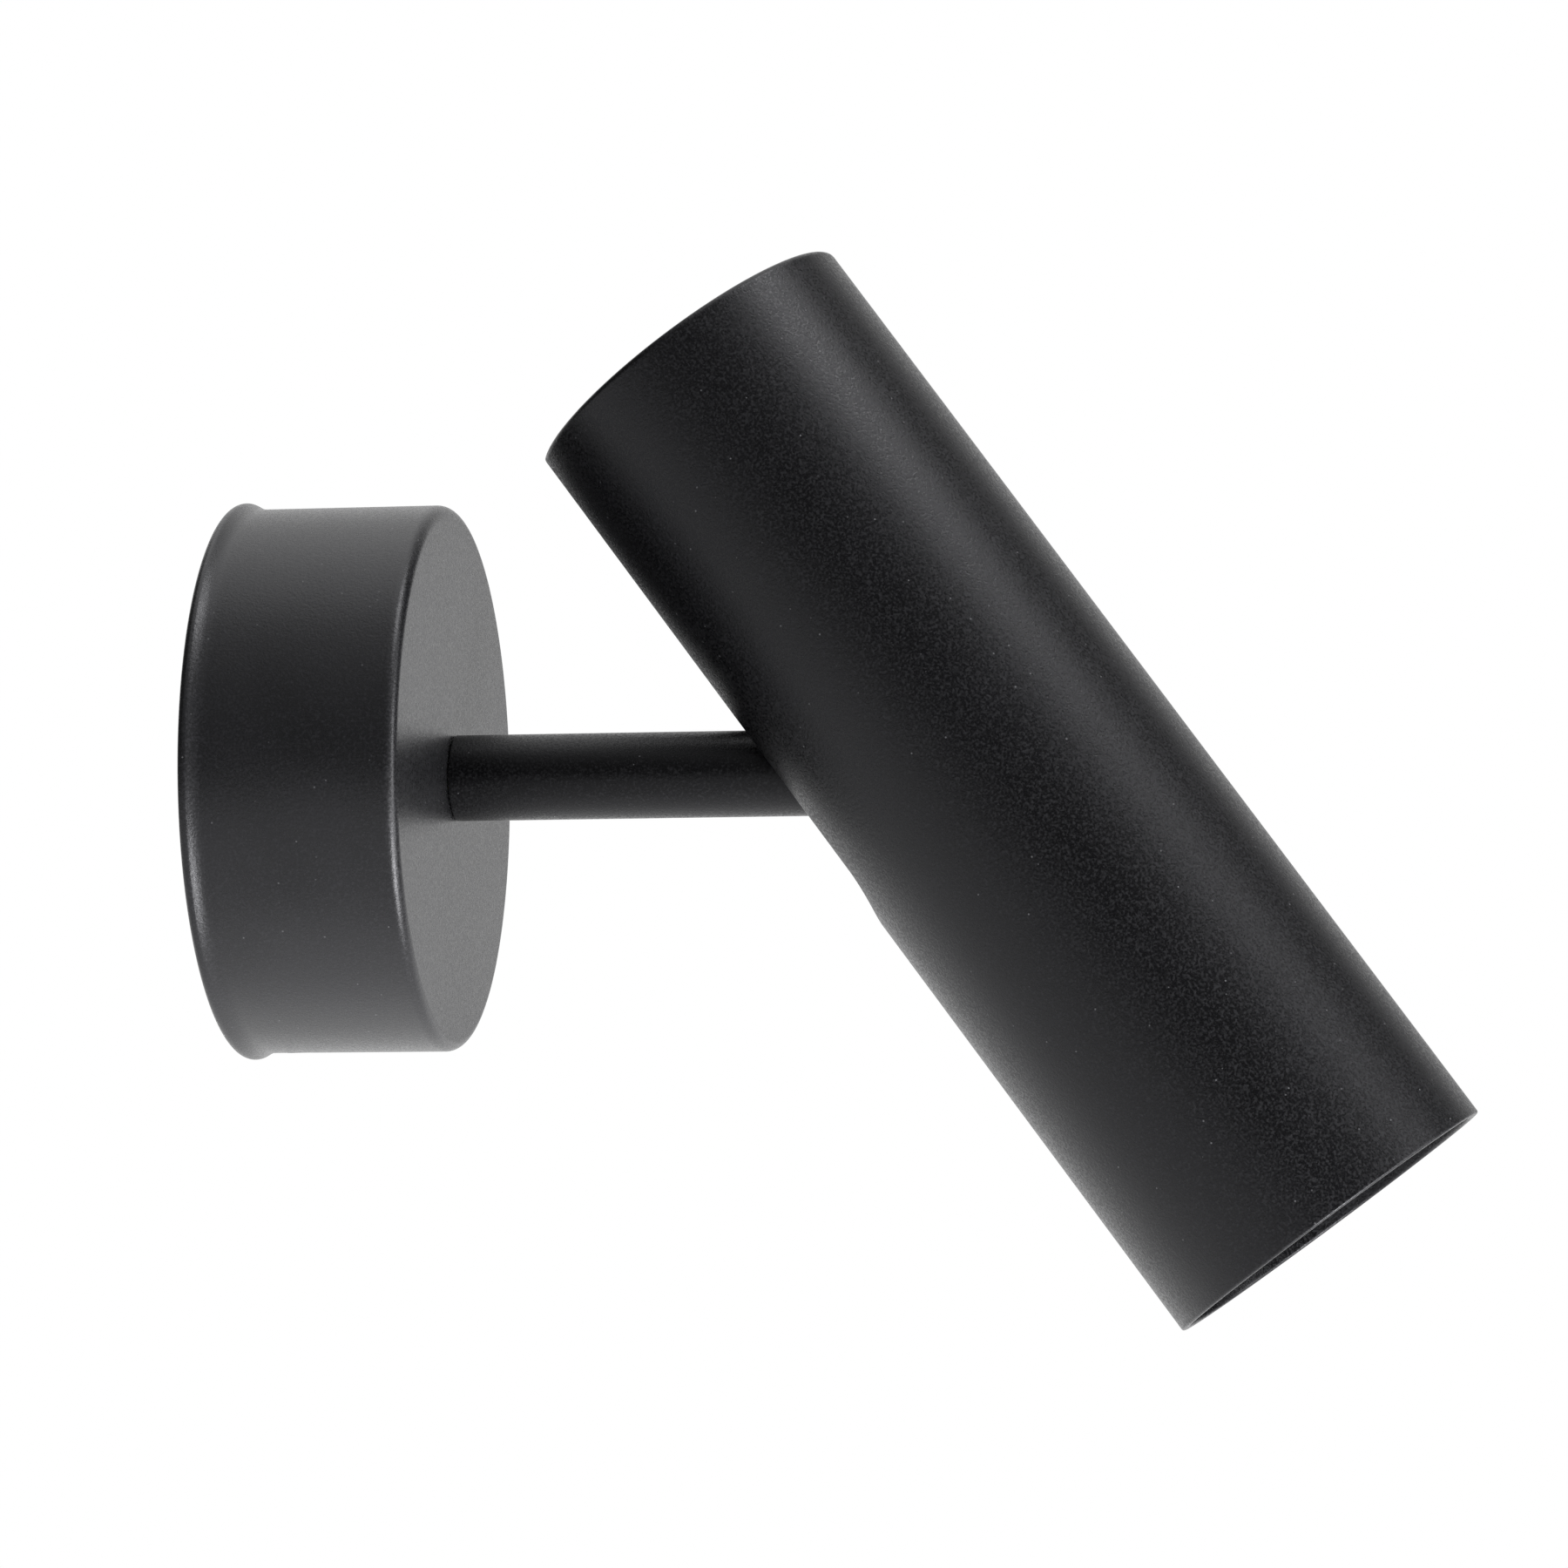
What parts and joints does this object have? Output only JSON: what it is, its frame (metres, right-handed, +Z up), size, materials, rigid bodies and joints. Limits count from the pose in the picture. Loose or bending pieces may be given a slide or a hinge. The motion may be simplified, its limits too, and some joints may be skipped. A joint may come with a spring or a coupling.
{
  "type": "wall sconce",
  "caption": "Wall spotlight with a round canopy, a straight arm that turns in it and a slotted tube head that tilts, with a recessed reflector lamp.",
  "frame": {"origin": "middle of the canopy's back, on the wall plane", "axes": "+Y into the wall, -Y out of the wall along the arm, +Z up, +X to the right for someone who faces the wall"},
  "size_m": [0.0938, 0.2056, 0.1787],
  "materials": {
    "black_coat": "fine textured satin black powder coat",
    "zinc_steel": "bright zinc plated",
    "dark_steel": "black oxide",
    "brass_parts": "turned brass",
    "white_nylon": "matt white nylon",
    "lead_insulation": "heat-proof silicone insulation",
    "earth_insulation": "green and yellow insulation",
    "black_rubber": "matt black rubber",
    "white_ceramic": "semi-gloss white steatite",
    "lamp_shell": "satin light grey lamp shell",
    "lens_glass": "lightly frosted lens"
  },
  "bodies": {
    "wall_base": {"wall_bracket": "zinc_steel", "canopy_cup": "black_coat", "canopy_grub_screws": "dark_steel", "stop_stud": "zinc_steel", "swivel_bush": "white_nylon", "terminal_block": "white_nylon", "terminal_sleeves": "brass_parts", "terminal_clamp_screws": "brass_parts", "terminal_fixing_screw": "zinc_steel", "earth_screw": "brass_parts", "earth_lead": "earth_insulation", "canopy_leads": "lead_insulation"},
    "arm": {"arm_tube": "black_coat", "swivel_spigot": "zinc_steel", "stop_washer": "zinc_steel", "dished_washer": "zinc_steel", "flat_washer": "zinc_steel", "swivel_nut": "brass_parts", "lead_sheath": "white_nylon", "arm_leads": "lead_insulation", "arm_knuckle": "black_coat"},
    "head": {"friction_washers": "white_nylon", "tilt_yoke": "zinc_steel", "yoke_screws": "zinc_steel", "pivot_bolt": "zinc_steel", "pivot_spring_washer": "zinc_steel", "pivot_nut": "zinc_steel", "carrier_disc": "zinc_steel", "lead_grommets": "black_rubber", "head_leads": "lead_insulation", "lampholder": "white_ceramic", "holder_screws": "zinc_steel", "holder_contacts": "brass_parts", "lamp_body": "lamp_shell", "lamp_pins": "zinc_steel", "lamp_lens": "lens_glass", "head_tube": "black_coat"}
  },
  "joints": [
    {"name": "arm_swivel", "type": "hinge", "parent": "wall_base", "child": "arm", "pos_m": [0, -0.0358, 0], "axis": [0, -1, 0], "range_deg": [-165, 165]},
    {"name": "head_tilt", "type": "hinge", "parent": "arm", "child": "head", "pos_m": [0, -0.1266, 0], "axis": [1, 0, 0], "range_deg": [-53.7, 36.3]}
  ]
}
